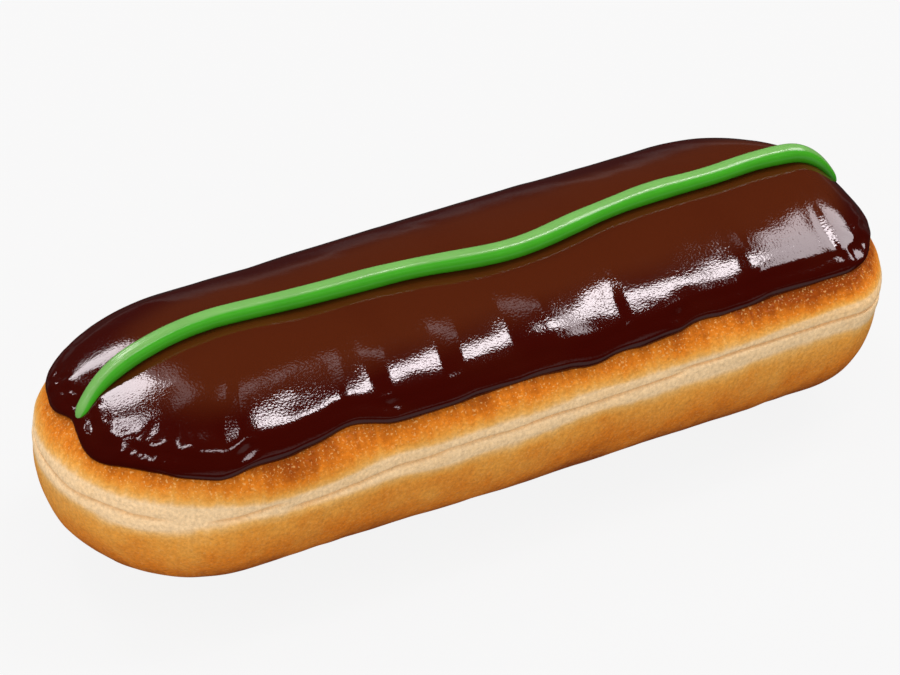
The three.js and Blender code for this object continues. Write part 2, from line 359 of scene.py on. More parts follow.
def loaf(station, side, level):
    """Points and outward directions of the loaf. Stations run from 0, the left tip, over 1 and 2, the
    ends of the straight part, to 3, the right tip. Sides are -1 in front and 1 behind. Levels run from -1
    under the loaf, over 0 at its waist, to 1 on its crown. In plan each end is a quarter superellipse."""
    station, side, level = np.broadcast_arrays(np.asarray(station, float), side, level)
    upper, reach, height, out, up = profile(level)
    left_start, left_nose = end_at(LEFT_END, side, upper, reach)
    right_start, right_nose = end_at(RIGHT_END, side, upper, reach)
    x = -left_start + (left_start + right_start) * np.clip(station - 1, 0, 1)
    across = np.ones_like(x)
    facing_x = np.zeros_like(x)
    facing_y = np.ones_like(x)
    for end, turn, start, nose in (
        (LEFT_END, station, left_start, left_nose),
        (RIGHT_END, LAST_STATION - station, right_start, right_nose),
    ):
        here = turn < 1
        angle = np.clip(turn, 0, 1) * QUARTER_TURN
        along = round_power(np.cos(angle), end["rounding"])
        wide = round_power(np.sin(angle), end["rounding"])
        slope = end["rounding"] - 1
        nose_length = np.where(side < 0, end["front"], end["back"])
        x = np.where(here, end["sign"] * (start + nose * along), x)
        across = np.where(here, wide, across)
        facing_x = np.where(here, end["sign"] * along**slope / nose_length, facing_x)
        facing_y = np.where(here, wide**slope / HALF_WIDTH, facing_y)
    length = np.hypot(facing_x, facing_y)
    barrel = 1 - BARREL * (x / HALF_LENGTH) ** 2
    y = side * HALF_WIDTH * reach * across * barrel
    z = height * np.where(upper, hump(x), 1)
    facing_x = facing_x / length
    facing_y = side * facing_y / length
    puff = PUFF["rise"] * bump(x - HALF_LENGTH, PUFF["reach"]) * bump(z - PUFF["height"], PUFF["spread"])
    points = np.stack([x + facing_x * puff, y + facing_y * puff, z], axis=-1)
    facing = np.stack([facing_x * out, facing_y * out, up], axis=-1)
    return points, facing


def ring_places():
    """Station and side of every place on a turn round the loaf: left tip, front, right tip, back."""
    end = np.arange(END_STEPS) / END_STEPS
    middle = 1 + np.arange(MIDDLE_STEPS + 1) / MIDDLE_STEPS
    stations = np.concatenate([end, middle, LAST_STATION - end[::-1]])
    back = stations[1:-1][::-1]
    return np.concatenate([stations, back]), np.concatenate([-np.ones(len(stations)), np.ones(len(back))])


def waist_places(stations, sides):
    """Distance round the waist from the left tip: above zero along the front, below zero along the back."""
    points, _ = loaf(stations, sides, 0.0)
    steps = np.linalg.norm(np.roll(points, -1, axis=0) - points, axis=1)
    travelled = np.concatenate([[0], np.cumsum(steps)])
    return np.where(sides < 0, travelled[:-1], travelled[:-1] - travelled[-1])


STATIONS, SIDES = ring_places()
PLACES = waist_places(STATIONS, SIDES)

# Length along the loaf's cross-section from its waist up to each of many levels, as rungs of a ladder.
RUNGS = 801
LADDER = np.linspace(0, 1, RUNGS)
LADDER_REACH, LADDER_HEIGHT = profile(LADDER)[1:3]
LADDER_STEPS = np.hypot(np.diff(LADDER_REACH) * HALF_WIDTH, np.diff(LADDER_HEIGHT))
LADDER_LENGTH = np.concatenate([[0], np.cumsum(LADDER_STEPS)])


def level_of_height(height):
    """Level at which the upper half of the loaf is a given height above its waist."""
    return np.arcsin(np.clip(height / CROWN_RISE, 0, 1) ** (CROWN_ROUNDING / 2)) / QUARTER_TURN


def ring_faces(rows, around):
    """Faces of a closed skin whose rows each run once round: squares between rows, and at the first and
    last row squares that join front to back, with a triangle at both tips. Every face looks outwards."""
    row, place = np.meshgrid(np.arange(rows - 1), np.arange(around), indexing="ij")
    ahead = (place + 1) % around
    low = row * around
    high = low + around
    side = np.stack([low + place, low + ahead, high + ahead, high + place], axis=-1).reshape(-1, 4)
    half = around // 2
    i = np.arange(1, half - 1)
    cap = np.stack([i, i + 1, around - i - 1, around - i], axis=-1)
    tips = np.array([[0, 1, around - 1], [half - 1, half, half + 1]])
    top = (rows - 1) * around
    return (side.tolist() + cap[:, ::-1].tolist() + (cap + top).tolist()
            + tips[:, ::-1].tolist() + (tips + top).tolist())


def add_piece(name, points, faces, node):
    """New mesh object at the origin, from points in millimetres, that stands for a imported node."""
    mesh = bpy.data.meshes.new(name)
    mesh.from_pydata(points.reshape(-1, 3) * MM, [], faces)
    mesh.validate()
    mesh.shade_smooth()
    piece = bpy.data.objects.new(name, mesh)
    bpy.context.scene.collection.objects.link(piece)
    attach(piece, "root")
    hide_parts(node)
    return piece


def set_attribute(piece, name, values):
    """Stores one number for each point of a piece, for its material to read."""
    attribute = piece.data.attributes.new(name, "FLOAT", "POINT")
    attribute.data.foreach_set("value", np.ascontiguousarray(values, dtype=np.float32).ravel())


def set_colours(piece, name, colours):
    """Stores one opaque colour for each point of a piece, for its material to read."""
    attribute = piece.data.attributes.new(name, "FLOAT_COLOR", "POINT")
    opaque = np.concatenate([colours, np.ones_like(colours[..., :1])], axis=-1)
    attribute.data.foreach_set("color", opaque.astype(np.float32).ravel())


def on_table(points):
    """Lifts heights from the waist to the table, cuts off flat what lies under it, and centres the bar."""
    lifted = points + (-PUFF["rise"] / 2, 0, WAIST_HEIGHT)
    lifted[..., 2] = np.maximum(lifted[..., 2], 0)
    return lifted


def seat_depth(height):
    """How deep the dough lies under the loaf's outer form, growing smoothly from the seat level up."""
    start = profile(np.array(SEAT_LEVEL))[2]
    return SEAT_DEPTH * smooth((height - start) / SEAT_RUN)


def crease_relief(height, place):
    """Depth of the waist creases as a share: for each a narrow groove along a sloping, slightly wavy
    line, with a soft lip on both sides, faded out at both ends."""
    wobble = lumps(flat_points(place), CREASE_WOBBLE)
    relief = 0
    for crease in CREASES:
        along = (place - crease["start"]) / (crease["end"] - crease["start"])
        middle = crease["rise"] + (crease["fall"] - crease["rise"]) * along + wobble
        fade_in = smooth((place - crease["start"]) / CREASE_FADE)
        fade_out = smooth((crease["end"] - place) / CREASE_FADE)
        groove = -bump(height - middle, CREASE_WIDTH)
        lips = sum(lip["rise"] * bump(height - middle + lip["below"], LIP_WIDTH) for lip in LIPS)
        relief = relief + fade_in * fade_out * (groove + lips)
    return relief


def band_shift(place, height):
    """How far the borders of the pale band are moved down: lumps, and bells of its upper or lower one."""
    shift = np.where(height > 0, waves(place, BAND_TOP_WAVES, "drop"), waves(place, BAND_LOW_WAVES, "drop"))
    return lumps(flat_points(place), BORDER_LUMPS) + shift


def edge_height(place):
    """Height of the coat's lower edge over the waist: a level line with fine waves, and a bell for each
    drip and bay."""
    return EDGE_HEIGHT + lumps(flat_points(place), EDGE_LUMPS) + waves(place, EDGE_WAVES, "lift")


class BarDough(bpy.types.PropertyGroup):
    """Sizes and colours of the fried dough."""

    crease_depth: FloatProperty(name="Crease depth", description="Depth of the creases round the waist",
                                default=0.00042, unit="LENGTH")
    waist_depth: FloatProperty(name="Waist depth", description="How far the pale waist draws in",
                               default=0.0004, unit="LENGTH")
    grain_depth: FloatProperty(name="Grain depth", description="Height of the fried grain",
                               default=0.00019, unit="LENGTH")
    cream: FloatVectorProperty(name="Cream", description="Colour of the pale waist", subtype="COLOR",
                               default=(0.92, 0.66, 0.37))
    straw: FloatVectorProperty(name="Straw", description="Colour at the edges of the pale waist",
                               subtype="COLOR", default=(0.83, 0.45, 0.12))
    gold: FloatVectorProperty(name="Gold", description="Colour of the lightly fried crust", subtype="COLOR",
                              default=(0.79, 0.335, 0.048))
    amber: FloatVectorProperty(name="Amber", description="Colour of the fried crust", subtype="COLOR",
                               default=(0.70, 0.200, 0.011))
    brown: FloatVectorProperty(name="Brown", description="Colour of the deepest fried crust",
                               subtype="COLOR", default=(0.31, 0.058, 0.002))


class BarCoat(bpy.types.PropertyGroup):
    """Sizes and colours of the chocolate coat."""

    # The sides' colour is the chocolate's own; the crown colour is the chocolate lightened by a painted
    # sheen from above.
    chocolate: FloatVectorProperty(name="Chocolate", description="Colour of the coat's sides",
                                   subtype="COLOR", default=(0.034, 0.0012, 0.0001))
    crown: FloatVectorProperty(name="Crown", description="Colour of the coat's top", subtype="COLOR",
                               default=(0.070, 0.0118, 0.0026))
    roughness: FloatProperty(name="Roughness", description="Blur of the coat's shine",
                             default=0.07, subtype="FACTOR")
    peel_depth: FloatProperty(name="Peel depth", description="Height of the coat's fine ripples",
                              default=0.000015, unit="LENGTH")


class BarLine(bpy.types.PropertyGroup):
    """Sizes and colours of the piped line."""

    width: FloatProperty(name="Width", description="Width of the bead", default=0.0038, unit="LENGTH")
    height: FloatProperty(name="Height", description="Height of the bead", default=0.003, unit="LENGTH")
    low: FloatProperty(name="Tip height", description="Height of both tips over the waist",
                       default=0.0078, unit="LENGTH")
    # The pale green is the green paled by a painted sheen, for the bead's top and back.
    green: FloatVectorProperty(name="Green", description="Colour of the bead's front", subtype="COLOR",
                               default=(0.045, 0.350, 0.012))
    painted_sheen_green: FloatVectorProperty(name="Pale green", description="Colour of the bead's top and back",
                                    subtype="COLOR", default=(0.150, 0.385, 0.088))


class BarStage(bpy.types.PropertyGroup):
    """Floor, lights and camera."""

    distance: FloatProperty(name="Camera distance", description="From the bar's middle to the camera",
                            default=0.72, unit="LENGTH")
    azimuth: FloatProperty(name="Camera turn", description="Turn of the camera from square to the front",
                           default=np.radians(-28.4), subtype="ANGLE")
    elevation: FloatProperty(name="Camera rise", description="Angle at which the camera looks down",
                             default=np.radians(35), subtype="ANGLE")
    lens: FloatProperty(name="Lens", description="Focal length for a 36 mm wide frame",
                        default=177.0, subtype="DISTANCE_CAMERA")
    pale: FloatProperty(name="Floor", description="Brightness of the floor as the camera sees it",
                        default=0.882, subtype="FACTOR")
    bounce: FloatProperty(name="Bounce", description="Brightness of the floor as the bar sees it",
                          default=0.45, subtype="FACTOR")


def dough_colour(settings, height, relief):
    """Crust colour by height over the waist: cream, straw, gold, amber and brown, each blended into the
    next, and moved on by the relief, which counts in stops and acts less on the pale waist."""
    palette = np.array([settings.cream, settings.straw, settings.gold, settings.amber, settings.brown])
    up = np.interp(height, CRUST_UP["heights"], CRUST_UP["stops"])
    down = np.interp(-height, CRUST_DOWN["depths"], CRUST_DOWN["stops"])
    stop = np.where(height > 0, up, down)
    calm = CALM_SHARE + (1 - CALM_SHARE) * smooth(stop)
    stops = np.arange(len(palette))
    stop = np.clip(stop + relief * calm, stops[0], stops[-1])
    return np.stack([np.interp(stop, stops, channel) for channel in palette.T], axis=-1)


def node_adder(tree):
    """Function that adds a node to a tree, with its settings, its inputs and its links."""

    def add(kind, inputs=(), **settings):
        node = tree.nodes.new(kind)
        for key, value in settings.items():
            setattr(node, key, value)
        for key, value in dict(inputs).items():
            socket = node.inputs[key]
            if isinstance(value, bpy.types.NodeSocket):
                tree.links.new(value, socket)
            else:
                socket.default_value = value
        return node

    return add


def new_material(name):
    """Empty material with a Principled shader, and a helper that adds linked nodes."""
    material = bpy.data.materials.new(name)
    material.use_nodes = True
    tree = material.node_tree
    return material, tree, tree.nodes["Principled BSDF"], node_adder(tree)


def dough_material(settings):
    """Fried crust: the point colours, mottled, with pale specks that are painted glints and a fine grain of
    rounded cells.
    """
    material, tree, shader, add = new_material("fried dough")
    place = add("ShaderNodeTexCoord").outputs["Object"]
    colour = add("ShaderNodeAttribute", attribute_name="crust").outputs["Color"]
    grain_and_glint_share = add("ShaderNodeAttribute", attribute_name="grain").outputs["Fac"]
    mottle = add("ShaderNodeTexNoise", {"Vector": place, "Scale": 1700.0, "Detail": 3.0,
                                        "Roughness": 0.6})
    shade = add("ShaderNodeMapRange", {"Value": mottle.outputs["Fac"], "From Min": 0.3, "From Max": 0.7,
                                       "To Min": 0.84, "To Max": 1.16})
    toned = add("ShaderNodeVectorMath", {0: colour, 1: shade.outputs["Result"]}, operation="MULTIPLY")
    # Pale specks mixed into the colour are painted glints, strongest where the grain is.
    glint_noise = add("ShaderNodeTexNoise", {"Vector": place, "Scale": 2600.0, "Detail": 1.0})
    glint_share = add("ShaderNodeMapRange", {"Value": glint_noise.outputs["Fac"], "From Min": 0.60,
                                             "From Max": 0.70, "To Min": 0.0, "To Max": 0.50})
    glint_here = add("ShaderNodeMath", {0: glint_share.outputs["Result"], 1: grain_and_glint_share},
                     operation="MULTIPLY")
    mixed = add("ShaderNodeMix", {"Factor": glint_here.outputs["Value"], "A": toned.outputs["Vector"],
                                  "B": GLINT_COLOUR}, data_type="RGBA")
    tree.links.new(mixed.outputs["Result"], shader.inputs["Base Color"])
    cells = add("ShaderNodeTexVoronoi", {"Vector": place, "Scale": 1900.0}, feature="SMOOTH_F1")
    grain = add("ShaderNodeMath", {0: cells.outputs["Distance"], 1: grain_and_glint_share}, operation="MULTIPLY")
    fine = add("ShaderNodeTexNoise", {"Vector": place, "Scale": 1400.0, "Detail": 2.0})
    height = add("ShaderNodeMath", {0: fine.outputs["Fac"], 1: grain.outputs["Value"]},
                 operation="SUBTRACT")
    relief = add("ShaderNodeBump", {"Height": height.outputs["Value"], "Strength": 1.0,
                                    "Distance": settings.grain_depth})
    tree.links.new(relief.outputs["Normal"], shader.inputs["Normal"])
    shader.inputs["Specular IOR Level"].default_value = 0.10
    gloss = add("ShaderNodeMapRange", {"Value": grain_and_glint_share, "To Min": 0.62, "To Max": 0.30})
    tree.links.new(gloss.outputs["Result"], shader.inputs["Roughness"])
    return material


def coat_material(settings):
    """Glossy chocolate: deep brown sides, a crown lightened by a painted sheen, both faintly clouded, and a
    ripple like peel.
    """
    material, tree, shader, add = new_material("chocolate coat")
    place = add("ShaderNodeTexCoord").outputs["Object"]
    cloud = add("ShaderNodeTexNoise", {"Vector": place, "Scale": 60.0, "Detail": 2.0})
    # The crown attribute is the share of painted sheen, growing towards the coat's top.
    height = add("ShaderNodeAttribute", attribute_name="crown").outputs["Fac"]
    clouded = add("ShaderNodeMath", {0: cloud.outputs["Fac"], 1: 0.5, 2: height}, operation="MULTIPLY_ADD")
    share = add("ShaderNodeMapRange", {"Value": clouded.outputs["Value"], "From Min": 0.25,
                                       "From Max": 1.25})
    mixed = add("ShaderNodeMix", {"Factor": share.outputs["Result"], "A": (*settings.chocolate, 1.0),
                                  "B": (*settings.crown, 1.0)}, data_type="RGBA")
    tree.links.new(mixed.outputs["Result"], shader.inputs["Base Color"])
    peel = add("ShaderNodeTexNoise", {"Vector": place, "Scale": 2600.0, "Detail": 1.0})
    relief = add("ShaderNodeBump", {"Height": peel.outputs["Fac"], "Strength": 1.0,
                                    "Distance": settings.peel_depth})
    tree.links.new(relief.outputs["Normal"], shader.inputs["Normal"])
    shader.inputs["Roughness"].default_value = settings.roughness
    return material


def line_material(settings):
    """Glossy green sugar icing: deep green on the bead's front, paled on its top and back by a painted
    sheen.
    """
    material, tree, shader, add = new_material("green icing")
    place = add("ShaderNodeTexCoord").outputs["Object"]
    cloud = add("ShaderNodeTexNoise", {"Vector": place, "Scale": 250.0, "Detail": 2.0})
    shaded = add("ShaderNodeAttribute", attribute_name="shaded").outputs["Fac"]
    mixed = add("ShaderNodeMix", {"Factor": shaded, "A": (*settings.painted_sheen_green, 1.0),
                                  "B": (*settings.green, 1.0)}, data_type="RGBA")
    shade = add("ShaderNodeMapRange", {"Value": cloud.outputs["Fac"], "To Min": 0.88, "To Max": 1.12})
    toned = add("ShaderNodeVectorMath", {0: mixed.outputs["Result"], 1: shade.outputs["Result"]},
                operation="MULTIPLY")
    tree.links.new(toned.outputs["Vector"], shader.inputs["Base Color"])
    shader.inputs["Roughness"].default_value = 0.20
    peel = add("ShaderNodeTexNoise", {"Vector": place, "Scale": 900.0, "Detail": 1.0})
    relief = add("ShaderNodeBump", {"Height": peel.outputs["Fac"], "Strength": 1.0, "Distance": 0.000016})
    tree.links.new(relief.outputs["Normal"], shader.inputs["Normal"])
    return material


def stretch_levels(low, high, count):
    """Levels in even steps from low to just under high."""
    return low + (high - low) * np.arange(count) / count


class BAR_OT_dough(bpy.types.Operator):
    """Make the fried dough with its waist creases, its seat for the coat and its crust colours"""

    bl_idname = "bar.dough"
    bl_label = "Fried dough"

    def execute(self, context):
        settings = context.scene.bar_dough
        levels = np.concatenate([stretch_levels(*stretch) for stretch in DOUGH_STRETCHES])
        points, facing = loaf(STATIONS[None], SIDES[None], levels[:, None])
        place = np.broadcast_to(PLACES, points.shape[:2])
        height = points[..., 2]
        waist = settings.waist_depth / MM * -bump(height, WAIST_REACH)
        crease = settings.crease_depth / MM * crease_relief(height, place)
        stretched = flat_points(place * PLEAT_STRETCH[0], height * PLEAT_STRETCH[1])
        pleats = lumps(stretched, PLEATS) * bump(height, PLEAT_REACH)
        offset = lumps(points, DOUGH_LUMPS) + waist + crease + pleats - seat_depth(height)
        points = points + facing * offset[..., None]
        faces = ring_faces(len(levels), len(STATIONS))
        piece = add_piece("dough", on_table(points), faces, "dough_bun")
        drift = DRIFT_SHARE * lumps(points, DRIFT)
        fibres = lumps(flat_points(place / FIBRE_SIZE[0], height / FIBRE_SIZE[1]), FIBRES)
        band = FIBRE_BAND["share"] * bump(height - FIBRE_BAND["height"], FIBRE_BAND["reach"])
        deeper = DEEPER["stops"] * bump(place - DEEPER["at"], DEEPER["reach"])
        deeper = deeper * smooth(height / DEEPER["run"])
        relief = drift + fibres * (FIBRE_SHARE + band) + deeper
        colours = dough_colour(settings, height + band_shift(place, height), relief)
        # Painted shade in the crease grooves, darkest at their bottoms.
        crease_shade = np.clip(-crease / (settings.crease_depth / MM), 0, 1)
        colours = colours * (1 - crease_shade[..., None] * GROOVE_SHADE)
        set_colours(piece, "crust", colours)
        # The grain attribute sets the fried grain and the painted glints together, strongest just under the
        # coat's edge.
        under_edge = bump(edge_height(place) - height, GRAIN_AND_GLINT_REACH)
        set_attribute(piece, "grain", np.clip(GRAIN_AND_GLINT_LEAST + (1 - GRAIN_AND_GLINT_LEAST) * under_edge, 0, 1))
        piece.data.materials.append(dough_material(settings))
        return {"FINISHED"}


def coat_rows(edge):
    """Rows of the coat's outside as level, way up from the edge, and how proud of the loaf they lie. The
    first run round the bead, a circle that starts under the edge. The next climb the shoulder in even
    steps. The last reach the crown."""
    edge_length = np.interp(level_of_height(edge), LADDER, LADDER_LENGTH)
    turn = np.linspace(BEAD_START, QUARTER_TURN, BEAD_ROWS)[:, None]
    bead_above = BEAD_RADIUS * (1 - np.cos(turn))
    bead_proud = BEAD_LIFT + BEAD_RADIUS * np.sin(turn)
    shoulder = np.linspace(BEAD_RADIUS, SHOULDER_RUN, SHOULDER_ROWS + 1)[1:, None]
    rim = BEAD_LIFT + BEAD_RADIUS - COAT_PROUD
    shoulder_proud = COAT_PROUD + rim * bump(shoulder - BEAD_RADIUS, BEAD_FADE)
    low = np.concatenate([bead_above, shoulder])
    proud = np.concatenate([bead_proud, shoulder_proud])
    low_level = np.interp(edge_length + low, LADDER_LENGTH, LADDER)
    climb = np.linspace(0, 1, CROWN_ROWS + 1)[1:, None]
    crown_level = low_level[-1] + (TOP_LEVEL - low_level[-1]) * climb
    crown_above = np.interp(crown_level, LADDER, LADDER_LENGTH) - edge_length
    crown_proud = COAT_PROUD + rim * bump(crown_above - BEAD_RADIUS, BEAD_FADE)
    level = np.concatenate([low_level, crown_level])
    above = np.concatenate([low + 0 * edge_length, crown_above])
    return level, above, np.concatenate([proud + 0 * edge_length, crown_proud])


def step_relief(place):
    """Sawtooth of the shoulder steps: a straight rise over each step and a straight fall to the next one,
    rounded off by a moving average under a raised cosine."""
    places = [step[key] for step in STEPS for key in ("start", "end")]
    heights = [height for step in STEPS for height in (0.0, step["rise"])]
    fine = np.arange(places[0] - LAST_FALL, places[-1] + 2 * LAST_FALL, STEP_GRID)
    sawtooth = np.interp(fine, places + [places[-1] + LAST_FALL], heights + [0.0])
    window = np.hanning(int(STEP_SOFTNESS / STEP_GRID) * 2 + 3)
    return np.interp(place, fine, np.convolve(sawtooth, window / window.sum(), "same"))


def spot_share(place, above, spot):
    """Bell round a spot of the coat: one along the waist times one up the coat."""
    return bump(place - spot["at"], spot["reach"]) * bump(above - spot["above"], spot["spread"])


def coat_relief(place, above, points):
    """Unevenness of the coat: lumps, steps along its shoulder, dents and swellings, lumpy rims at both
    ends, the leaning crease at the right end, and the groove over its bead."""
    relief = lumps(points, COAT_LUMPS)
    relief = relief + step_relief(place) * bump(above - STEP_ABOVE, STEP_SPREAD)
    for spot in SWELLINGS:
        relief = relief + spot["rise"] * spot_share(place, above, spot)
    rims = sum(spot_share(place, above, rim) for rim in END_RIMS)
    relief = relief + lumps(points, RIM_LUMPS) * rims
    lean = END_CREASE["lean"] * np.maximum(END_CREASE["under"] - above, 0)
    relief = relief - END_CREASE["depth"] * spot_share(place - lean, above, END_CREASE)
    return relief - GROOVE["depth"] * bump(above - GROOVE["above"], GROOVE["spread"])


class BAR_OT_coat(bpy.types.Operator):
    """Make the chocolate coat with its rolled, wavy edge"""

    bl_idname = "bar.coat"
    bl_label = "Chocolate coat"

    def execute(self, context):
        edge = edge_height(PLACES)
        level, above, proud = coat_rows(edge)
        outside, facing = loaf(STATIONS[None], SIDES[None], level)
        place = np.broadcast_to(PLACES, level.shape)
        share = smooth(above / BEAD_RADIUS)
        offset = proud + share * coat_relief(place, above, outside)
        outside = outside + facing * offset[..., None]
        inner_low = level_of_height(edge + INSIDE_LIFT)
        climb = np.linspace(1, 0, INSIDE_ROWS)[:, None]
        inner_level = inner_low + (TOP_LEVEL - inner_low) * climb
        inside, inner_facing = loaf(STATIONS[None], SIDES[None], inner_level)
        inner_offset = INSIDE_GAP - seat_depth(inside[..., 2])
        inside = inside + inner_facing * inner_offset[..., None]
        points = np.concatenate([inside, outside])
        faces = ring_faces(len(points), len(STATIONS))
        piece = add_piece("chocolate_coat", on_table(points), faces, "chocolate_icing")
        # Share of the painted sheen that lightens the crown, by level.
        crown = smooth((level - CROWN_SHEEN_FROM) / CROWN_SHEEN_RUN)
        set_attribute(piece, "crown", np.concatenate([0 * inner_level, crown]))
        piece.data.materials.append(coat_material(context.scene.bar_coat))
        return {"FINISHED"}


def path_lengths(points):
    """Length of a path from its start up to each of its points."""
    return np.concatenate([[0], np.cumsum(np.linalg.norm(np.diff(points, axis=0), axis=1))])


def line_size(from_tip):
    """Share of the bead's full size at a distance from its nearer tip: it thins smoothly towards both."""
    return 1 - LINE_TAPER * (1 - smooth(from_tip / LINE_TAPER_RUN))


def line_route(settings):
    """Middle of the bead: the coat's middle line from near its edge at the left tip over the crown to the
    right tip, shifted sideways by the waves, in even steps. Also returns how far along the way each point
    is."""
    climb = level_of_height(np.linspace(settings.low / MM, CROWN_RISE, CLIMB_POINTS)[:-1])
    left, left_facing = loaf(0.0, -1, climb)
    right, right_facing = loaf(LAST_STATION, -1, climb[::-1])
    share = np.linspace(0, 1, CROWN_POINTS + 2)[1:-1, None]
    crown = left[-1] + (right[0] - left[-1]) * share
    crown[:, 2] = CROWN_RISE * hump(crown[:, 0])
    crown_facing = np.broadcast_to((0.0, 0.0, 1.0), crown.shape)
    points = np.concatenate([left, crown, right])
    facing = np.concatenate([left_facing, crown_facing, right_facing])
    shift = waves(points[:, 0], LINE_WAVES, "shift")
    curve = 2 * HALF_WIDTH**2 / CROWN_RISE * CROWN_CURVE
    travelled = path_lengths(points)
    size = line_size(np.minimum(travelled, travelled[-1] - travelled))
    lift = COAT_PROUD + settings.height / MM / 2 * size - LINE_SINK - shift**2 / curve
    points = points + facing * lift[:, None]
    points[:, 1] += shift
    travelled = path_lengths(points)
    even = np.linspace(0, travelled[-1], LINE_STEPS)
    route = np.stack([np.interp(even, travelled, points[:, axis]) for axis in range(3)], axis=-1)
    steps = int(LINE_SMOOTHING / (even[1] - even[0]))
    window = np.hanning(2 * steps + 3)[1:-1]
    padded = np.pad(route, ((steps, steps), (0, 0)), mode="reflect", reflect_type="odd")
    window = window / window.sum()
    route = np.stack([np.convolve(padded[:, axis], window, "valid") for axis in range(3)], axis=-1)
    return route, even


class BAR_OT_line(bpy.types.Operator):
    """Make the piped green line"""

    bl_idname = "bar.line"
    bl_label = "Piped line"

    def execute(self, context):
        settings = context.scene.bar_line
        route, travelled = line_route(settings)
        ahead = np.gradient(route, axis=0)
        ahead /= np.linalg.norm(ahead, axis=1, keepdims=True)
        across = np.stack([-ahead[:, 1], ahead[:, 0], 0 * ahead[:, 0]], axis=-1)
        across /= np.linalg.norm(across, axis=1, keepdims=True)
        up = np.cross(ahead, across)
        from_tip = np.minimum(travelled, travelled[-1] - travelled)
        closing = 1 - np.clip((from_tip + LINE_TIP_BLUNT) / LINE_TIP, 0, 1)
        rounded = line_size(from_tip) * np.sqrt(1 - closing**2)
        size = (rounded * (1 + lumps(flat_points(travelled), LINE_SWELL)))[:, None]
        turn = np.arange(LINE_SIDES) / LINE_SIDES * 2 * np.pi
        wide = settings.width / MM / 2 * size * np.cos(turn)
        high = settings.height / MM / 2 * size * np.sin(turn)
        points = route[:, None] + across[:, None] * wide[..., None] + up[:, None] * high[..., None]
        faces = ring_faces(LINE_STEPS, LINE_SIDES)
        piece = add_piece("green_line", on_table(points), faces, "green_icing_line")
        # The shaded arc keeps the deep green; the rest of the bead is paled by a painted sheen.
        start, run_in, end, run_out = np.radians(SHADED_ARC)
        shaded = smooth((turn - start) / run_in) * smooth((end - turn) / run_out)
        set_attribute(piece, "shaded", np.broadcast_to(shaded, wide.shape))
        piece.data.materials.append(line_material(settings))
        return {"FINISHED"}


# Softboxes: direction towards each from the bar, its size along the bar and across it in metres, its
# brightness, and whether the glossy coat shows it. Those that it shows make the streaks and patches of
# its shine.
SOFTBOXES = (
    dict(name="strip", towards=(0.42, 0.13, 0.90), size=(0.27, 0.075), radiance=22),
    dict(name="right", towards=(0.70, 0.10, 0.71), size=(0.40, 0.40), radiance=8),
    dict(name="left", towards=(-0.13, 0.66, 0.74), size=(0.15, 0.25), radiance=15),
    dict(name="left low", towards=(-0.24, 0.455, 0.86), size=(0.14, 0.06), radiance=15),
    dict(name="left drop", towards=(-0.26, 0.22, 0.94), size=(0.26, 0.06), radiance=12),
    dict(name="drip", towards=(-0.02, -0.16, 0.98), size=(0.26, 0.10), radiance=7),
    dict(name="back", towards=(-0.06, 0.92, 0.42), size=(0.20, 0.16), radiance=8),
    dict(name="swoosh", towards=(0.22, 0.32, 0.92), size=(0.26, 0.05), radiance=1.8),
    dict(name="sweep", towards=(-0.02, 0.56, 0.83), size=(0.06, 0.40), radiance=1.3),
    dict(name="fill", towards=(-0.75, -0.60, 0.28), size=(0.6, 0.5), radiance=3.2, shows=False),
)
LAMP_DISTANCE = 1.0
LAMP_COLOUR = (1.0, 0.92, 0.96)

# Where the lamps and the camera look, in millimetres.
TARGET = (-1.3, 0.2, WAIST_HEIGHT)

# The surroundings: their brightness for diffuse light and for the camera, and what reflections see of
# them. Each glow there is a product of smooth ramps along an axis of the direction, from one value to
# another, between two strengths.
WORLD_TINT = (1.0, 0.985, 0.96, 1.0)
WORLD_SOFT = 0.70
WORLD_SEEN = 0.94
HORIZON = (("Z", -0.03, 0.01, 0.13, 0.01), ("Z", -0.10, -0.05, 0.10, 1.0), ("Y", 0.05, 0.35, 0.0, 1.0))
FRONT_HIGH = (("Z", 0.60, 0.68, 0.0, 0.45), ("Z", 0.76, 0.84, 1.0, 0.0), ("Y", -0.62, -0.48, 1.0, 0.0))
FRONT_LOW = (("Z", -0.10, 0.20, 0.5, 0.0), ("Y", -0.75, -0.45, 1.0, 0.0))
GLOW_LEAST = 0.02

# The floor: half of its side in metres, and its own colour. The camera: the width of its frame in
# millimetres, and in metres from where on it sees.
FLOOR_HALF = 6.0
FLOOR_BASE = (0.04, 0.04, 0.04, 1.0)
SENSOR_WIDTH = 36
CLIP_START = 0.01


def add_softbox(name, towards, size, radiance, shows=True):
    """Rectangular lamp that faces the bar, with its width along the bar as far as that goes. Its power is
    its radiance times its area times pi."""
    lamp = bpy.data.lights.new(name, "AREA")
    lamp.shape = "RECTANGLE"
    lamp.size, lamp.size_y = size
    lamp.energy = radiance * size[0] * size[1] * np.pi
    lamp.color = LAMP_COLOUR
    holder = bpy.data.objects.new(name, lamp)
    direction = Vector(towards).normalized()
    holder.location = Vector(TARGET) * MM + direction * LAMP_DISTANCE
    along = (Vector((1, 0, 0)) - direction * direction.x).normalized()
    holder.rotation_euler = Matrix((along, direction.cross(along), direction)).transposed().to_euler()
    holder.visible_camera = False
    holder.visible_glossy = shows
    bpy.context.scene.collection.objects.link(holder)


def combined(add, operation, values):
    """Output that joins outputs and numbers by one arithmetic operation, each with what came before it."""
    total = values[0]
    for value in values[1:]:
        total = add("ShaderNodeMath", {0: total, 1: value}, operation=operation).outputs["Value"]
    return total


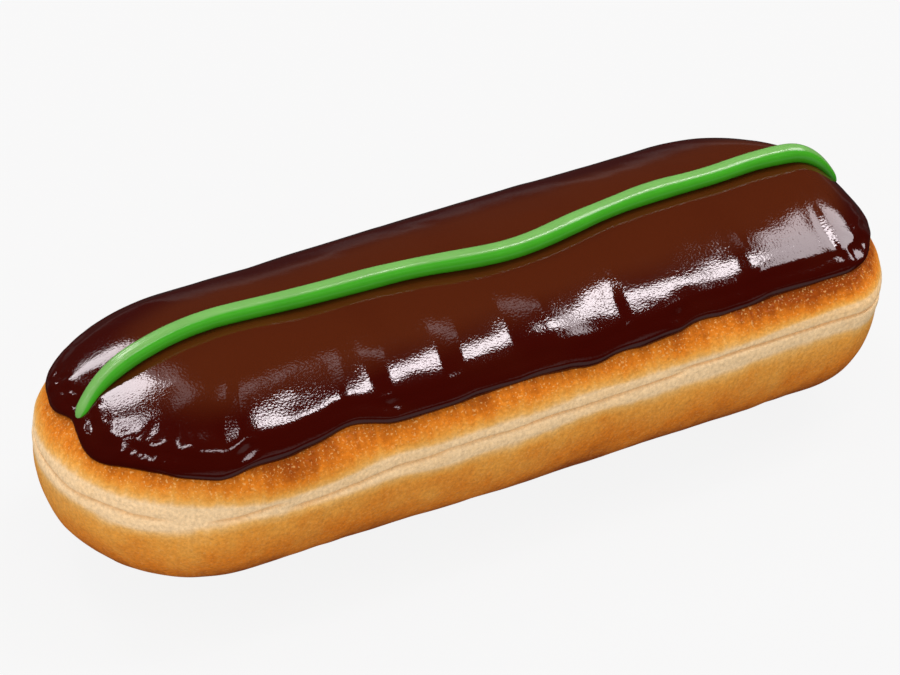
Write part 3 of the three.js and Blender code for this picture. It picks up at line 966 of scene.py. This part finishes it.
def studio_world(context):
    """Pale surroundings. For diffuse light they are even. Reflections see a faint horizon behind the bar,
    a faint band high in front of it, a faint glow low in front of it, and next to nothing elsewhere."""
    world = bpy.data.worlds.new("studio")
    context.scene.world = world
    world.use_nodes = True
    tree = world.node_tree
    tree.nodes.clear()
    add = node_adder(tree)
    path = add("ShaderNodeLightPath").outputs
    direction = add("ShaderNodeSeparateXYZ", {"Vector": add("ShaderNodeTexCoord").outputs["Generated"]})

    def glow(ramps):
        """Product of smooth ramps on the direction that a reflection comes from."""
        parts = []
        for axis, *values in ramps:
            keys = dict(zip(("From Min", "From Max", "To Min", "To Max"), values))
            keys["Value"] = direction.outputs[axis]
            ramp = add("ShaderNodeMapRange", keys, interpolation_type="SMOOTHSTEP")
            parts.append(ramp.outputs["Result"])
        return combined(add, "MULTIPLY", parts)

    strength = combined(add, "ADD", [glow(HORIZON), glow(FRONT_HIGH), glow(FRONT_LOW), GLOW_LEAST])
    glossy = add("ShaderNodeBackground", {"Strength": strength})
    soft = add("ShaderNodeBackground", {"Color": WORLD_TINT, "Strength": WORLD_SOFT})
    seen = add("ShaderNodeBackground", {"Strength": WORLD_SEEN})
    lit = add("ShaderNodeMixShader", {0: path["Is Glossy Ray"], 1: soft.outputs[0], 2: glossy.outputs[0]})
    shown = add("ShaderNodeMixShader", {0: path["Is Camera Ray"], 1: lit.outputs[0], 2: seen.outputs[0]})
    add("ShaderNodeOutputWorld", {"Surface": shown.outputs[0]})


def add_floor(settings):
    """Wide pale floor, a dark square that glows: brightly for the camera, so that shadows on it stay
    faint, and less for the bar, so that its underside stays in shade."""
    corners = [(x * FLOOR_HALF, y * FLOOR_HALF, 0) for x, y in ((-1, -1), (1, -1), (1, 1), (-1, 1))]
    mesh = bpy.data.meshes.new("floor")
    mesh.from_pydata(corners, [], [(0, 1, 2, 3)])
    floor = bpy.data.objects.new("floor", mesh)
    bpy.context.scene.collection.objects.link(floor)
    material, tree, shader, add = new_material("pale floor")
    shader.inputs["Base Color"].default_value = FLOOR_BASE
    shader.inputs["Roughness"].default_value = 1.0
    shader.inputs["Specular IOR Level"].default_value = 0.0
    shader.inputs["Emission Color"].default_value = (1.0, 1.0, 1.0, 1.0)
    path = add("ShaderNodeLightPath")
    glow = add("ShaderNodeMapRange", {"Value": path.outputs["Is Camera Ray"], "To Min": settings.bounce,
                                      "To Max": settings.pale})
    tree.links.new(glow.outputs["Result"], shader.inputs["Emission Strength"])
    mesh.materials.append(material)
    floor.visible_glossy = False


def add_camera(context, settings):
    """Camera on a sphere round the bar's middle, looking at it."""
    turn = settings.azimuth
    rise = settings.elevation
    back = Vector((np.sin(turn) * np.cos(rise), -np.cos(turn) * np.cos(rise), np.sin(rise)))
    lens = bpy.data.cameras.new("camera")
    lens.sensor_width = SENSOR_WIDTH
    lens.lens = settings.lens
    lens.clip_start = CLIP_START
    camera = bpy.data.objects.new("camera", lens)
    camera.location = Vector(TARGET) * MM + back * settings.distance
    camera.rotation_euler = back.to_track_quat("Z", "Y").to_euler()
    context.scene.collection.objects.link(camera)
    context.scene.camera = camera


class BAR_OT_stage(bpy.types.Operator):
    """Make the pale floor, the soft studio light and the camera"""

    bl_idname = "bar.stage"
    bl_label = "Studio"

    def execute(self, context):
        settings = context.scene.bar_stage
        context.scene.view_settings.view_transform = "Standard"
        add_floor(settings)
        studio_world(context)
        for softbox in SOFTBOXES:
            add_softbox(**softbox)
        add_camera(context, settings)
        return {"FINISHED"}


class BAR_PT_sidebar(bpy.types.Panel):
    """Sidebar list of the bar's pieces and their settings"""

    bl_idname = "BAR_PT_sidebar"
    bl_label = "Iced bar"
    bl_space_type = "VIEW_3D"
    bl_region_type = "UI"
    bl_category = "Iced bar"

    def draw(self, context):
        for group, operator in SETTINGS.items():
            settings = getattr(context.scene, group)
            column = self.layout.column()
            for key in settings.bl_rna.properties.keys():
                if key not in ("rna_type", "name"):
                    column.prop(settings, key)
            column.operator(operator)


SETTINGS = {
    "bar_dough": "bar.dough",
    "bar_coat": "bar.coat",
    "bar_line": "bar.line",
    "bar_stage": "bar.stage",
}
GROUPS = (BarDough, BarCoat, BarLine, BarStage)
CLASSES = GROUPS + (BAR_OT_dough, BAR_OT_coat, BAR_OT_line, BAR_OT_stage, BAR_PT_sidebar)


def register():
    for kind in CLASSES:
        bpy.utils.register_class(kind)
    for name, group in zip(SETTINGS, GROUPS):
        setattr(bpy.types.Scene, name, PointerProperty(type=group))


def unregister():
    for name in SETTINGS:
        delattr(bpy.types.Scene, name)
    for kind in reversed(CLASSES):
        bpy.utils.unregister_class(kind)


def main():
    register()
    bpy.ops.bar.dough()
    bpy.ops.bar.coat()
    bpy.ops.bar.line()
    bpy.ops.bar.stage()


if __name__ == "__main__":
    main()
